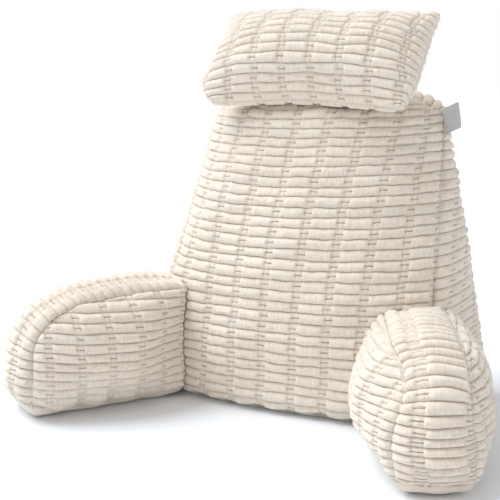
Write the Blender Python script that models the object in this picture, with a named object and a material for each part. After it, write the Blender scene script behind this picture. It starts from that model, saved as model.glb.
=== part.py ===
"""Reading pillow with arms: a backrest, two arms, a headrest and a sewn-in label.

Metres, +Z up. The pillow faces -Y and stands flat on the floor. Each cushion is one
filled solid: its panels are grids of points that meet along the seams, and the ribs of
the plush are raised in those points.
"""
import math

import bmesh
import bpy
from mathutils import Vector
from mathutils.bvhtree import BVHTree

# Plush
RIB = 0.015                 # one rib, valley to valley
RIB_RISE = 0.0042           # height of a rib over its valleys
SEAM_GAP = 0.002            # air between two cushions, over their ribs
WALL_CORNER = 0.006         # how far an arm's root stands off the backrest's side seam

# Backrest: front panel, two side and one top length of boxing, back panel, bottom panel
FRONT_RIBS = 33
FRONT_STEPS = 2 * FRONT_RIBS
FRONT_LENGTH = FRONT_RIBS * RIB
FRONT_LEAN_LOW = math.radians(-5)      # the crown overhangs its bottom seam
FRONT_LEAN_RATE = math.radians(86)      # change of lean for each metre up the front
FRONT_TUCK_LOW = math.radians(10)       # extra lean where the front rolls to a seam
FRONT_TUCK_HIGH = math.radians(32)
FRONT_TUCK_LENGTH = 0.045
BACKREST_SEAM_RISE = 0.006              # bottom seams above the floor
BACKREST_HALF_LOW = 0.230               # half width at the front seams
BACKREST_HALF_HIGH = 0.179
BACKREST_SIDEWAYS = -0.011              # the top sits a little to the left of the base
CORNER_LENGTH = 0.080
CORNER_DRAW = 0.120
TOP_SEAM_DROP = 0.024
CROWN_LOW = 0.048                       # how far the side seams lie behind the middle
CROWN_HIGH = 0.112
CROWN_TOP = 0.085
BACK_DEPTH = 0.235                      # Y of the back seams
BACK_FLARE_LOW = 0.018                  # the back is wider below and narrower above
BACK_FLARE_HIGH = -0.025
ROW_TILT = 0.037                        # the ribs climb a little towards +X
BACK_TOP_BOW = 0.016
BACK_CROWN = 0.030
SIDE_BULGE = 0.015
TOP_BULGE = 0.014
FRONT_COLUMNS = 20
BACK_COLUMNS = 12
TOP_COLUMNS = 40
SIDE_SHARES = (0.0, 0.08, 0.25, 0.5, 0.75, 0.92, 1.0)

# Arms: inner and outer panel, boxing over the top and down the front, bottom panel
ARM_RIBS = 12
ARM_STEPS = 2 * ARM_RIBS
ARM_LENGTH_LEFT = 0.224
ARM_LENGTH_RIGHT = 0.216
ARM_ROOT_SIDE = 0.205                   # centre line where it leaves the backrest
ARM_ROOT_DEPTH = 0.020
ARM_SEAM_RISE = 0.016
ARM_SEAM_HIGH = 0.168                   # top seams at the root
ARM_SEAM_LOW = 0.160                    # top seams at the front
ARM_BOXING = 0.086
ARM_BOTTOM = 0.104
ARM_CROWN = 0.043
ARM_CORNER = 0.055
ARM_CORNER_DROP = 0.020
ARM_FRONT_SLOPE = 0.012
ARM_TOP_BULGE = 0.014
ARM_FRONT_BULGE = 0.018
ARM_TOP_STEPS = 30
ARM_ALONG_SHARES = (0.0, 0.04, 0.12, 0.24, 0.38, 0.52, 0.66, 0.79, 0.89, 0.96, 1.0)
ARM_CROSS_SHARES = (-1.0, -0.85, -0.6, -0.3, 0.0, 0.3, 0.6, 0.85, 1.0)
ARM_SPLAY_LEFT = math.radians(35)
ARM_SPLAY_RIGHT = math.radians(24)

# Headrest: two panels sewn edge to edge
HEAD_LENGTH = 0.330
HEAD_WIDTH = 0.172
HEAD_FRONT = 0.052                      # crown of the front panel
HEAD_BACK = 0.044                       # crown of the back panel
HEAD_SIDE_WAIST = 0.030                 # how far the middle of an end is drawn in
HEAD_EDGE_WAIST = 0.080                 # how far the middle of a long edge is drawn in
HEAD_LOWER_DRAW = 0.07                  # how far the lower corners are drawn in
HEAD_PRESS_GAP = 0.004                  # its back gives way where it is pressed on the backrest
HEAD_PRESS_STEP = 0.0005
HEAD_STEPS = 24
HEAD_COLUMNS = 18
HEAD_CENTRE = Vector((0.004, 0.133, 0.506))
HEAD_RECLINE = math.radians(43)
HEAD_ROLL = math.radians(-0.3)

# Label: a folded loop sewn into the right front seam
LABEL_HEIGHT = 0.042
LABEL_WIDTH = 0.028
LABEL_THICKNESS = 0.0012
LABEL_TURN = math.radians(-30)
LABEL_ROW = 53                          # row of the front at its lower end
LABEL_STAND_OFF = 0.008

CREAM = (0.86, 0.80, 0.72, 1.0)
WHITE = (0.92, 0.92, 0.90, 1.0)


def clamp(value, low=0.0, high=1.0):
    return max(low, min(high, value))


def smooth(value):
    value = clamp(value)
    return value * value * (3.0 - 2.0 * value)


def mix(start, end, share):
    return start + (end - start) * share


# ---------------------------------------------------------------- mesh helpers

def normals_of(grid):
    """The unit normal of a grid of points at each of them."""
    rows, columns = len(grid), len(grid[0])
    normals = []
    for j in range(rows):
        line = []
        for i in range(columns):
            along = grid[j][min(i + 1, columns - 1)] - grid[j][max(i - 1, 0)]
            across = grid[min(j + 1, rows - 1)][i] - grid[max(j - 1, 0)][i]
            line.append(along.cross(across).normalized())
        normals.append(line)
    return normals


def raise_ribs(grid, along_rows, outward):
    """Move every second inner row (or column) of a grid out by the height of a rib."""
    normals = normals_of(grid)
    middle = normals[len(grid) // 2][len(grid[0]) // 2]
    sign = 1.0 if middle.dot(outward) > 0.0 else -1.0
    raised = [list(row) for row in grid]
    for j in range(1, len(grid) - 1):
        for i in range(1, len(grid[0]) - 1):
            crest = (j if along_rows else i) % 2
            raised[j][i] = grid[j][i] + normals[j][i] * (sign * RIB_RISE * crest)
    return raised


def add_grid(mesh, grid):
    """Faces between the points of a grid."""
    verts = [[mesh.verts.new(point) for point in row] for row in grid]
    for low, high in zip(verts, verts[1:]):
        for i in range(len(low) - 1):
            mesh.faces.new((low[i], low[i + 1], high[i + 1], high[i]))


def add_strip(mesh, low, high):
    """Triangles between two lines of points that need not be equally many."""
    low = [mesh.verts.new(point) for point in low]
    high = [mesh.verts.new(point) for point in high]
    i = j = 0
    while i < len(low) - 1 or j < len(high) - 1:
        next_low = (i + 1) / (len(low) - 1)
        next_high = (j + 1) / (len(high) - 1)
        if next_low <= next_high:
            mesh.faces.new((low[i], low[i + 1], high[j]))
            i += 1
        else:
            mesh.faces.new((low[i], high[j + 1], high[j]))
            j += 1


def add_material(name, colour, roughness):
    material = bpy.data.materials.new(name)
    material.use_nodes = True
    shader = material.node_tree.nodes["Principled BSDF"]
    shader.inputs["Base Color"].default_value = colour
    shader.inputs["Roughness"].default_value = roughness
    shader.inputs["Metallic"].default_value = 0.0
    return material


def add_object(name, mesh, material):
    """Weld the panels of a cushion along their seams and make it an object."""
    bmesh.ops.remove_doubles(mesh, verts=mesh.verts, dist=0.00002)
    bmesh.ops.recalc_face_normals(mesh, faces=mesh.faces)
    if mesh.calc_volume(signed=True) < 0.0:
        bmesh.ops.reverse_faces(mesh, faces=mesh.faces)
    data = bpy.data.meshes.new(name)
    mesh.to_mesh(data)
    mesh.free()
    data.materials.append(material)
    item = bpy.data.objects.new(name, data)
    bpy.context.scene.collection.objects.link(item)
    return item


# ---------------------------------------------------------------- backrest shape

def front_lean(height):
    """Lean of the front's middle line, a given cloth length above the bottom seam."""
    tuck_low = smooth((FRONT_TUCK_LENGTH - height) / FRONT_TUCK_LENGTH)
    tuck_high = smooth((height - FRONT_LENGTH + FRONT_TUCK_LENGTH) / FRONT_TUCK_LENGTH)
    lean = FRONT_LEAN_LOW + FRONT_LEAN_RATE * height
    return lean + FRONT_TUCK_HIGH * tuck_high - FRONT_TUCK_LOW * tuck_low


def front_middle_line():
    """(Y, Z) of the front's middle line at each half rib."""
    step = FRONT_LENGTH / FRONT_STEPS
    y, z = 0.0, BACKREST_SEAM_RISE
    line = [(y, z)]
    for j in range(FRONT_STEPS):
        lean = front_lean((j + 0.5) * step)
        y += step * math.sin(lean)
        z += step * math.cos(lean)
        line.append((y, z))
    return line


MIDDLE_LINE = front_middle_line()


def middle_at(row):
    """(Y, Z) of the middle line at a row that need not be whole."""
    low = int(clamp(math.floor(row), 0, FRONT_STEPS - 1))
    share = row - low
    (y0, z0), (y1, z1) = MIDDLE_LINE[low], MIDDLE_LINE[low + 1]
    return mix(y0, y1, share), mix(z0, z1, share)


def half_width(row):
    height = FRONT_LENGTH * row / FRONT_STEPS
    straight = mix(BACKREST_HALF_LOW, BACKREST_HALF_HIGH, height / FRONT_LENGTH)
    corner = clamp((height - FRONT_LENGTH + CORNER_LENGTH) / CORNER_LENGTH)
    return straight - CORNER_DRAW * (1.0 - math.sqrt(1.0 - (0.8 * corner) ** 2))


def crown_depth(row):
    share = row / FRONT_STEPS
    rise = smooth((share - 0.15) / 0.6)
    fall = smooth((share - 0.86) / 0.14)
    return mix(mix(CROWN_LOW, CROWN_HIGH, rise), CROWN_TOP, fall)


def crown_shape(across):
    """0 in the middle of the front, 1 at its side seams."""
    return 0.58 * across ** 2 + 0.42 * across ** 6


def seam_drop(row):
    height = FRONT_LENGTH * row / FRONT_STEPS
    return TOP_SEAM_DROP * smooth((height - FRONT_LENGTH + CORNER_LENGTH) / CORNER_LENGTH)


def row_tilt(row):
    return ROW_TILT * smooth(row / FRONT_STEPS / 0.3)


def sideways(row):
    return BACKREST_SIDEWAYS * smooth((row / FRONT_STEPS - 0.38) / 0.62)


def front_point(across, row):
    """A point of the front panel; across runs from -1 to 1 between the side seams."""
    y, z = middle_at(row)
    x = across * half_width(row)
    return Vector((x + sideways(row), y + crown_depth(row) * crown_shape(across),
                   z + row_tilt(row) * x - seam_drop(row) * abs(across) ** 3))


def back_point(across, row):
    """A point of the back panel, level with the front one in the same row."""
    level = front_point(across, row)
    share = row / FRONT_STEPS
    half = half_width(row) + mix(BACK_FLARE_LOW, BACK_FLARE_HIGH, smooth(share))
    puff = BACK_CROWN * (1.0 - abs(across) ** 2.6) * (1.0 - abs(2.0 * share - 1.0) ** 4)
    bow = BACK_TOP_BOW * smooth((share - 0.7) / 0.3) * (1.0 - across ** 2)
    return Vector((across * half + sideways(row), BACK_DEPTH + puff - bow, level.z))


def outline_normal(row):
    """(X, Z) of the outward normal at the right edge, which turns up at the corner."""
    height = FRONT_LENGTH * row / FRONT_STEPS
    turn = math.radians(50) * smooth((height - FRONT_LENGTH + CORNER_LENGTH) / CORNER_LENGTH)
    return math.cos(turn), math.sin(turn)


def side_point(side, through, row):
    """A point of the side boxing; through runs from 0 at the front to 1 at the back."""
    front, back = front_point(side, row), back_point(side, row)
    bulge = SIDE_BULGE * 4.0 * through * (1.0 - through)
    out, up = outline_normal(row)
    return front.lerp(back, through) + Vector((side * out, 0.0, up)) * bulge


def top_point(across, through):
    """A point of the top boxing."""
    front, back = front_point(across, FRONT_STEPS), back_point(across, FRONT_STEPS)
    out, up = outline_normal(FRONT_STEPS)
    tilt = abs(across) ** 3
    normal = Vector((math.copysign(out * tilt, across), 0.0, mix(1.0, up, tilt)))
    bulge = TOP_BULGE * 4.0 * through * (1.0 - through)
    if abs(across) >= 1.0:
        return side_point(across, through, FRONT_STEPS)
    return front.lerp(back, through) + normal * bulge


def spread(count, low=0.0, high=1.0):
    return [mix(low, high, i / count) for i in range(count + 1)]


def spread_to_seams(count):
    """From -1 to 1, closer together near the ends, where a crown turns fastest."""
    return [u * (1.35 - 0.35 * u * u) for u in spread(count, -1, 1)]


def bottom_point(across, through):
    """A point between the bottom seams, before the bottom is pressed on the floor."""
    depth = mix(front_point(across, 0).y, back_point(across, 0).y, through)
    return Vector((across * side_point(1, through, 0).x, depth, 0.0))


def press_on_floor(grid, rise):
    """Roll the rim of a bottom panel down from its seams to a flat face on the floor."""
    rows, columns = len(grid), len(grid[0])
    for j, row in enumerate(grid):
        for i, point in enumerate(row):
            ring = min(j, rows - 1 - j, i, columns - 1 - i)
            point.z = (rise, 0.25 * rise, 0.0)[min(ring, 2)]
    return grid


def build_backrest(material):
    mesh = bmesh.new()
    rows = range(FRONT_STEPS + 1)
    front_across = spread_to_seams(FRONT_COLUMNS)
    back_across = spread_to_seams(BACK_COLUMNS)
    front = [[front_point(a, j) for a in front_across] for j in rows]
    back = [[back_point(a, j) for a in back_across] for j in rows]
    top = [[top_point(a, w) for a in spread(TOP_COLUMNS, -1, 1)] for w in SIDE_SHARES]
    bottom = [[bottom_point(a, w) for a in front_across] for w in SIDE_SHARES]
    front = raise_ribs(front, True, Vector((0, -1, 0)))
    back = raise_ribs(back, True, Vector((0, 1, 0)))
    bottom = press_on_floor(bottom, BACKREST_SEAM_RISE)
    add_grid(mesh, front[:-1])
    add_strip(mesh, front[-2], top[0])
    add_grid(mesh, back[:-1])
    add_strip(mesh, back[-2], top[-1])
    add_grid(mesh, raise_ribs(top, False, Vector((0, 0, 1))))
    add_grid(mesh, bottom[:-1])
    add_strip(mesh, bottom[-2], back[0])
    for side in (-1, 1):
        boxing = [[side_point(side, w, j) for w in SIDE_SHARES] for j in rows]
        add_grid(mesh, raise_ribs(boxing, True, Vector((side, 0, 0))))
    return add_object("backrest", mesh, material)


# ---------------------------------------------------------------- arms

def row_at(x, height):
    """The row of the backrest's front that passes this height, x off the middle."""
    low = MIDDLE_LINE[0][1]
    for j in range(FRONT_STEPS):
        high = MIDDLE_LINE[j + 1][1] + row_tilt(j + 1) * x
        if height <= high:
            return j + clamp((height - low) / (high - low))
        low = high
    return FRONT_STEPS


def wall_depth(x, row):
    """Y of a place in front of the front panel, clear of its ribs by the seam gap."""
    half, step = half_width(row), 0.002
    across = min(x / half, 1.0)
    surface = front_point(across, row).y
    slope = (surface - front_point(across - step / half, row).y) / step
    return surface - (SEAM_GAP + RIB_RISE) * math.hypot(1.0, slope)


def wall_side(y, row):
    """X of a place beside the side boxing, clear of its ribs by the seam gap."""
    seam = front_point(1.0, row)
    through = clamp((y - seam.y) / (BACK_DEPTH - seam.y))
    return side_point(1, through, row).x + 1.1 * (SEAM_GAP + RIB_RISE)


def is_clear(x, y, height):
    """Whether a place beside the lower backrest is off its ribs by the seam gap."""
    row = row_at(x, height)
    seam = front_point(1.0, row)
    x = abs(x)
    if x <= seam.x:
        return y < wall_depth(x, row)
    beyond = y < seam.y and math.hypot(x - seam.x, y - seam.y) > 2.0 * WALL_CORNER
    return beyond or x > wall_side(y, row)


class Arm:
    """An arm's shape in its own run: along it, out across it and up."""

    def __init__(self, side, splay, length):
        self.side = side
        self.length = length
        self.root = Vector((side * ARM_ROOT_SIDE, ARM_ROOT_DEPTH, 0.0))
        self.along = Vector((side * math.sin(splay), -math.cos(splay), 0.0))
        self.out = Vector((side * math.cos(splay), math.sin(splay), 0.0))

    def place(self, run, cross, height):
        return self.root + self.along * run + self.out * cross + Vector((0, 0, height))

    def front_run(self, up):
        """Where the front seams lie at a share of the arm's height."""
        corner = clamp((up - 0.62) / 0.38)
        round_off = ARM_CORNER * (1.0 - math.sqrt(1.0 - (0.85 * corner) ** 2))
        return self.length - ARM_FRONT_SLOPE * up - round_off

    def seam_height(self, run):
        share = clamp(run / self.length)
        drop = ARM_CORNER_DROP * smooth((run - self.length + 0.090) / 0.070)
        return mix(ARM_SEAM_HIGH, ARM_SEAM_LOW, share) - drop

    def panel_cross(self, up, forward):
        """How far a side panel stands off the centre line."""
        seam = 0.5 * mix(ARM_BOTTOM, ARM_BOXING, smooth(up))
        rise = (4.0 * up * (1.0 - up)) ** 0.75
        run = (1.0 - forward ** 4) ** 0.8 * mix(0.85, 1.0, smooth(forward / 0.3))
        return seam + ARM_CROWN * rise * run

    def back_to_wall(self, cross, height):
        """The run at which a line along the arm comes up against the backrest."""
        step = 0.005
        run = 0.12
        while is_clear(*self.place(run, cross, height)) and run > -0.25:
            run -= step
        low, high = run, run + step
        for _ in range(20):
            middle = 0.5 * (low + high)
            if is_clear(*self.place(middle, cross, height)):
                high = middle
            else:
                low = middle
        return high

    def wall_point(self, up, cross_share):
        """A point of the root, which lies against the backrest around its corner."""
        height = mix(ARM_SEAM_RISE, ARM_SEAM_HIGH, up)
        ends = []
        for hand in (-1, 1):
            cross = hand * self.panel_cross(up, 0.0)
            ends.append(self.place(self.back_to_wall(cross, height), cross, height))
        height += ARM_TOP_BULGE * (1.0 - cross_share ** 2) * up ** 4
        row = row_at(self.side * ARM_ROOT_SIDE, height)
        seam = front_point(1.0, row)
        if abs(cross_share) == 1.0:
            x, y = ends[cross_share > 0].xy
        elif cross_share < 0.0:
            x = mix(abs(ends[0].x), seam.x, 1.0 + cross_share)
            y = wall_depth(x, row)
        elif cross_share == 0.0:
            x, y = seam.x + WALL_CORNER, seam.y - WALL_CORNER
        else:
            y = mix(seam.y, ends[1].y, cross_share)
            x = wall_side(y, row)
        return Vector((self.side * abs(x), y, height))

    def run_cross(self, point):
        offset = point - self.root
        return offset.dot(self.along), offset.dot(self.out)

    def panel_point(self, hand, up, forward):
        """A point of a side panel: hand -1 is the inner one and 1 the outer one."""
        if forward == 0.0:
            return self.wall_point(up, float(hand))
        wall = self.run_cross(self.wall_point(up, float(hand)))[0]
        run = mix(wall, self.front_run(up), forward)
        cross = hand * self.panel_cross(up, forward)
        return self.place(run, cross, mix(ARM_SEAM_RISE, self.seam_height(run), up))

    def bulge(self, cross_share, turn):
        """How far the boxing swells, turned from straight ahead (0) to up (1)."""
        size = mix(ARM_FRONT_BULGE, ARM_TOP_BULGE, turn) * (1.0 - cross_share ** 2)
        angle = 0.5 * math.pi * turn
        return size * math.cos(angle), size * math.sin(angle)

    def top_point(self, cross_share, forward):
        if forward == 0.0:
            return self.wall_point(1.0, cross_share)
        wall_run, wall_cross = self.run_cross(self.wall_point(1.0, cross_share))
        run = mix(wall_run, self.front_run(1.0), forward)
        cross = mix(wall_cross, 0.5 * cross_share * ARM_BOXING, smooth(forward / 0.5))
        if abs(cross_share) == 1.0:
            cross = cross_share * self.panel_cross(1.0, forward)
        ahead, rise = self.bulge(cross_share, mix(1.0, 0.6, smooth((forward - 0.75) / 0.25)))
        return self.place(run + ahead, cross, self.seam_height(run) + rise)

    def front_point(self, cross_share, up):
        run = self.front_run(up)
        height = mix(ARM_SEAM_RISE, self.seam_height(run), up)
        cross = cross_share * self.panel_cross(up, 1.0)
        ahead, rise = self.bulge(cross_share, 0.6 * smooth((up - 0.5) / 0.5))
        return self.place(run + ahead, cross, height + rise)

    def bottom_point(self, cross_share, forward):
        if forward == 0.0:
            return self.wall_point(0.0, cross_share)
        if forward == 1.0:
            return self.front_point(cross_share, 0.0)
        wall_run, wall_cross = self.run_cross(self.wall_point(0.0, cross_share))
        ahead = self.bulge(cross_share, 0.0)[0]
        run = mix(wall_run, self.front_run(0.0) + ahead, forward)
        cross = mix(wall_cross, 0.5 * cross_share * ARM_BOTTOM, smooth(forward / 0.5))
        if abs(cross_share) == 1.0:
            cross = cross_share * self.panel_cross(0.0, forward)
        return self.place(run, cross, 0.0)


def build_arm(name, side, splay, length, material):
    arm = Arm(side, splay, length)
    mesh = bmesh.new()
    ups = spread(ARM_STEPS)
    along, cross = ARM_ALONG_SHARES, ARM_CROSS_SHARES
    top = [[arm.top_point(c, f) for c in cross] for f in spread(ARM_TOP_STEPS)]
    front = [[arm.front_point(c, up) for c in cross] for up in ups]
    root = [[arm.wall_point(up, c) for c in cross] for up in ups]
    bottom = [[arm.bottom_point(c, f) for c in cross] for f in along]
    for hand in (-1, 1):
        panel = [[arm.panel_point(hand, up, f) for f in along] for up in ups]
        panel = raise_ribs(panel, True, arm.out * hand)
        edge = [row[0 if hand < 0 else -1] for row in top]
        add_grid(mesh, panel[:-1])
        add_strip(mesh, panel[-2], edge)
    add_grid(mesh, raise_ribs(top, True, Vector((0, 0, 1))))
    add_grid(mesh, raise_ribs(front, True, arm.along))
    add_grid(mesh, root)
    add_grid(mesh, press_on_floor(bottom, ARM_SEAM_RISE))
    return add_object(name, mesh, material)


# ---------------------------------------------------------------- headrest and label

def head_axes():
    """The headrest's own right, up and front directions."""
    right = Vector((math.cos(HEAD_ROLL), 0.0, -math.sin(HEAD_ROLL)))
    lean = Vector((0.0, math.sin(HEAD_RECLINE), math.cos(HEAD_RECLINE)))
    up = (lean - right * lean.dot(right)).normalized()
    return right, up, up.cross(right) * -1.0


def head_point(across, high, face):
    """A point of the headrest; face is 1 on the front panel and -1 on the back one."""
    right, up, ahead = head_axes()
    draw = HEAD_SIDE_WAIST * (1.0 - high ** 2) + HEAD_LOWER_DRAW * smooth(-high) ** 3
    x = 0.5 * HEAD_LENGTH * across * (1.0 - draw)
    z = 0.5 * HEAD_WIDTH * high * (1.0 - HEAD_EDGE_WAIST * (1.0 - across ** 2))
    crown = HEAD_FRONT if face > 0 else HEAD_BACK
    puff = (1.0 - abs(across) ** 3.0) ** 0.7 * (1.0 - high ** 2) ** 0.65
    return HEAD_CENTRE + right * x + up * z + ahead * (face * crown * puff)


def press_off(point, surface, ahead):
    """Move a point ahead until it stands off the surface it is pressed on."""
    nearest, normal = surface.find_nearest(point)[:2]
    while (point - nearest).dot(normal) < HEAD_PRESS_GAP:
        point = point + ahead * HEAD_PRESS_STEP
        nearest, normal = surface.find_nearest(point)[:2]
    return point


def build_headrest(backrest, material):
    mesh = bmesh.new()
    ahead = head_axes()[2]
    data = backrest.data
    surface = BVHTree.FromPolygons([vert.co for vert in data.vertices],
                                   [list(face.vertices) for face in data.polygons])
    across, rows = spread_to_seams(HEAD_COLUMNS), spread(HEAD_STEPS, -1, 1)
    for face in (-1, 1):
        panel = [[head_point(a, high, face) for a in across] for high in rows]
        panel = raise_ribs(panel, True, ahead * face)
        add_grid(mesh, [[press_off(p, surface, ahead) for p in row] for row in panel])
    return add_object("headrest", mesh, material)


def build_label(material):
    """A flat folded loop that stands straight out of the seam."""
    low, high = front_point(1.0, LABEL_ROW), front_point(1.0, LABEL_ROW + 6)
    up = (high - low).normalized()
    out = Vector((math.cos(LABEL_TURN), math.sin(LABEL_TURN), 0.0))
    out = (out - up * out.dot(up)).normalized()
    thick = up.cross(out)
    corner = low + out * LABEL_STAND_OFF
    mesh = bmesh.new()
    bmesh.ops.create_cube(mesh, size=1.0)
    for vert in mesh.verts:
        share = vert.co + Vector((0.5, 0.0, 0.5))
        vert.co = (corner + out * (share.x * LABEL_WIDTH) + up * (share.z * LABEL_HEIGHT)
                   + thick * (share.y * LABEL_THICKNESS))
    return add_object("label", mesh, material)


# ---------------------------------------------------------------- the part

def set_on_origin(items):
    """Move the pillow so that its box stands centred on the origin."""
    points = [item.matrix_world @ vert.co for item in items for vert in item.data.vertices]
    centre_x = 0.5 * (min(p.x for p in points) + max(p.x for p in points))
    centre_y = 0.5 * (min(p.y for p in points) + max(p.y for p in points))
    for item in items:
        item.location -= Vector((centre_x, centre_y, 0.0))


def main():
    for item in list(bpy.data.objects):
        bpy.data.objects.remove(item)
    plush = add_material("plush_cream", CREAM, 0.95)
    tape = add_material("label_white", WHITE, 0.70)
    backrest = build_backrest(plush)
    items = [backrest,
             build_arm("arm_left", -1, ARM_SPLAY_LEFT, ARM_LENGTH_LEFT, plush),
             build_arm("arm_right", 1, ARM_SPLAY_RIGHT, ARM_LENGTH_RIGHT, plush),
             build_headrest(backrest, plush),
             build_label(tape)]
    set_on_origin(items)


main()
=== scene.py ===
"""The looks of a reading pillow in ribbed plush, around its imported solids.

Metres, +Z up; the pillow faces -Y. Each cushion is built from the panels that it is sewn
from. A panel is a grid of points that also know their place on the cloth: s along the
ribs and t across them. The ribs, their split stretches and the pile are raised from that.
"""
import math

import bmesh
import bpy
import numpy as np
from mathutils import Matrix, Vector
from mathutils.bvhtree import BVHTree

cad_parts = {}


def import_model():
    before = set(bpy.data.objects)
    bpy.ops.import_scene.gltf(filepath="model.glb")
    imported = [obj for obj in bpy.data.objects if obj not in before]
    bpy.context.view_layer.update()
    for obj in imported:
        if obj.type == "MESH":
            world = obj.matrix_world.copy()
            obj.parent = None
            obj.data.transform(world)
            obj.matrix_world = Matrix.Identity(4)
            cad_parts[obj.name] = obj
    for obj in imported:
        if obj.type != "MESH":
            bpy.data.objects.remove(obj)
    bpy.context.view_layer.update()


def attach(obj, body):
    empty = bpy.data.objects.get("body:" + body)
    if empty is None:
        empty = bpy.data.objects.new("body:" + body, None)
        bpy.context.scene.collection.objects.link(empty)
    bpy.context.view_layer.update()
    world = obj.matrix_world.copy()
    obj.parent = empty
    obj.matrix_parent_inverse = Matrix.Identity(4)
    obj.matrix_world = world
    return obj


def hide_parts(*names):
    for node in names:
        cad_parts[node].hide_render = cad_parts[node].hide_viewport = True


# Where the part's origin lies from the middle of the front's bottom seam
PART_SHIFT = np.array((0.0166, -0.0325, 0.0))

# Plush: each rib is a row of full bars with split stretches between
RIB = 0.015  # one rib, valley to valley
RIB_RISE = 0.0058  # height of a rib over its valleys
RIB_TALL = (0.93, 1.05)  # the least and the greatest, as shares
RIB_LEAN = 0.84  # under 1: a rib is fullest below its middle
RIB_BULK = 0.58  # the smaller, the squarer a rib
REPEAT = 0.0486  # a full bar and the split stretch after it
BAR_STRAY = 0.022  # of a rib's bars, in repeats
RANDOM_RIBS = 400  # ribs with their own height and stray
SPLIT_HALF = 0.118  # half a split stretch, as a share of the repeat
SPLIT_EDGE = 0.018  # it sets in over this to either side
SPLIT_HEIGHT = 0.71  # of its two thin bars, as a share
SLIT_DEPTH = 0.42  # of the slit between them, as a share
SLIT_HALF = 0.050  # as a share of the rib
NOTCH = 0.24  # dip where a split stretch begins
NOTCH_HALF = 0.026  # as a share of the repeat
PLAIN_PLACE = 0.5  # on the pattern, with no slit or valley

# A panel's grid: where its lines lie on a rib and on a repeat
RIB_SHARES = (0.0, 0.05, 0.15, 0.29, 0.43, 0.5, 0.57, 0.71, 0.85, 0.95)
BAR_SHARES = (-0.5, -0.36, -0.24, -0.165, -0.135, -0.105, -0.05,
              0.05, 0.105, 0.135, 0.165, 0.24, 0.36)
FEW_BAR_SHARES = (-0.5, -0.3, -0.145, -0.1, 0.0, 0.1, 0.145, 0.3)
SEAM_MARGIN = 0.007  # beside a seam, for the lines packed in there
DENSE = 300  # columns of the grids that panels are read from
WELD = 0.00004  # points this close are one

# Filling and sewing
ROUND_OFF = 0.0045  # of ribs towards a seam
PUFF = 0.002  # swelling beside seams
PUFF_REACH = 0.006
LUMP = 0.0026  # unevenness of the filling
LUMP_WAVES = (0.11, 0.045)  # long and short
LUMP_SHORT = 0.4  # share of the short one
LUMP_REACH = 0.03  # it fades this close to a seam
WOBBLE = 0.0008  # of a rib about its line
WOBBLE_WAVE = 0.085
QUIVER = 0.0005  # the same over a short way
RIBS_APART = 2.2  # both are this much shorter across the ribs
FUZZ = 0.00025  # unevenness of the pile
FUZZ_REACH = 0.003
SEAM_GAP = 0.0014  # arms and headrest to the backrest
CLEAR_AROUND = 0.0022  # also looked for this far beside a place

# Backrest, as in the part
FRONT_RIBS = 33
FRONT_LENGTH = FRONT_RIBS * RIB
FRONT_LEAN_LOW = math.radians(-5)  # of the front's middle line at its foot
FRONT_LEAN_RATE = math.radians(86)  # growth in a metre
FRONT_TUCK_LOW = math.radians(10)  # it turns in at both ends
FRONT_TUCK_HIGH = math.radians(32)
FRONT_TUCK_LENGTH = 0.045
BACKREST_SEAM_RISE = 0.006  # of bottom seams over the floor
FLOOR_WAVE = 0.0028  # of the bottom seams
FLOOR_WAVE_LENGTH = 0.055
BACKREST_HALF_LOW = 0.230  # half the front's width at the foot
BACKREST_HALF_HIGH = 0.179  # and at the top
BACKREST_SIDEWAYS = -0.011  # its top stands to the left
CORNER_LENGTH = 0.080  # the upper corners' rounding
CORNER_DRAW = 0.120
TOP_SEAM_DROP = 0.024  # of the corners, under the top seam's middle
CROWN_LOW = 0.048  # side seams behind the front's middle:
CROWN_HIGH = 0.112  # at the foot, in the middle and at the top
CROWN_TOP = 0.085
BACK_DEPTH = 0.235  # the back panel's seams
BACK_FLARE_LOW = 0.018  # it is wider than the front at the foot
BACK_FLARE_HIGH = -0.025  # and narrower at the top
BACK_TOP_BOW = 0.016
BACK_CROWN = 0.030
ROW_TILT = 0.037  # the ribs climb to the right
SIDE_BULGE = 0.015
TOP_BULGE = 0.014
TOP_RIBS = 18
PINCHES = ((0.37, 30.3, 0.015), (-0.46, 30.6, 0.014))  # across, rib, depth
PINCH_LINE = 30.7  # rib under the headrest's lower edge
PINCH_LINE_DEPTH = 0.012
ROLL_UP = 0.006  # of the cloth in front of the headrest
FRONT_SPLIT_START = (0.015, 0.039, 0.026, 3.5)  # x, along, along for each metre up, columns
SIDE_SPLIT = 0.3  # place of the side boxing's bars

# Arms, as in the part; -1 is the left one and 1 the right one
ARM_RIBS = {-1: 12.0, 1: 13.5}
ARM_LENGTH = {-1: 0.224, 1: 0.216}
ARM_SPLAY = {-1: math.radians(35), 1: math.radians(24)}
ARM_ROOT_SIDE = 0.205  # of the root's middle
ARM_ROOT_DEPTH = 0.020
ARM_SEAM_RISE = 0.016  # of bottom seams over the floor
ARM_SEAM_HIGH = {-1: 0.168, 1: 0.164}  # top seams at the root
ARM_SEAM_LOW = 0.160  # and at the end
ARM_BOXING = 0.086  # width of the boxing
ARM_BOTTOM = 0.104  # and of the bottom panel
ARM_CROWN = 0.043  # of the side panels
ARM_CORNER = 0.055  # the end's upper corner
ARM_CORNER_DROP = 0.020
ARM_FRONT_SLOPE = 0.012
ARM_TOP_BULGE = 0.014
ARM_FRONT_BULGE = 0.018
ARM_SIDE_SPLIT = 0.0  # place of the sides' bars
ARM_SIDE_GATHER = 1.1  # of the sides' cloth, along the ribs
ARM_END_SPLIT = 0.30  # place of the boxing's bars
ARM_END_GATHER = 0.78  # its cloth is stretched
ARM_END_RISE = 1.3  # and its ribs stand higher
ARM_ROOT_FLAT = 0.3  # share of the top's bulge left at the root
ARM_END_DRAW = {-1: 0.0, 1: 0.012}  # the boxing is drawn in at its inner corner
ARM_INNER_ROOT = {-1: 0.08, 1: 0.65}  # share of the crown left at the root
ARM_OUTER_ROOT = 0.85  # and on the outer side
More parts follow.
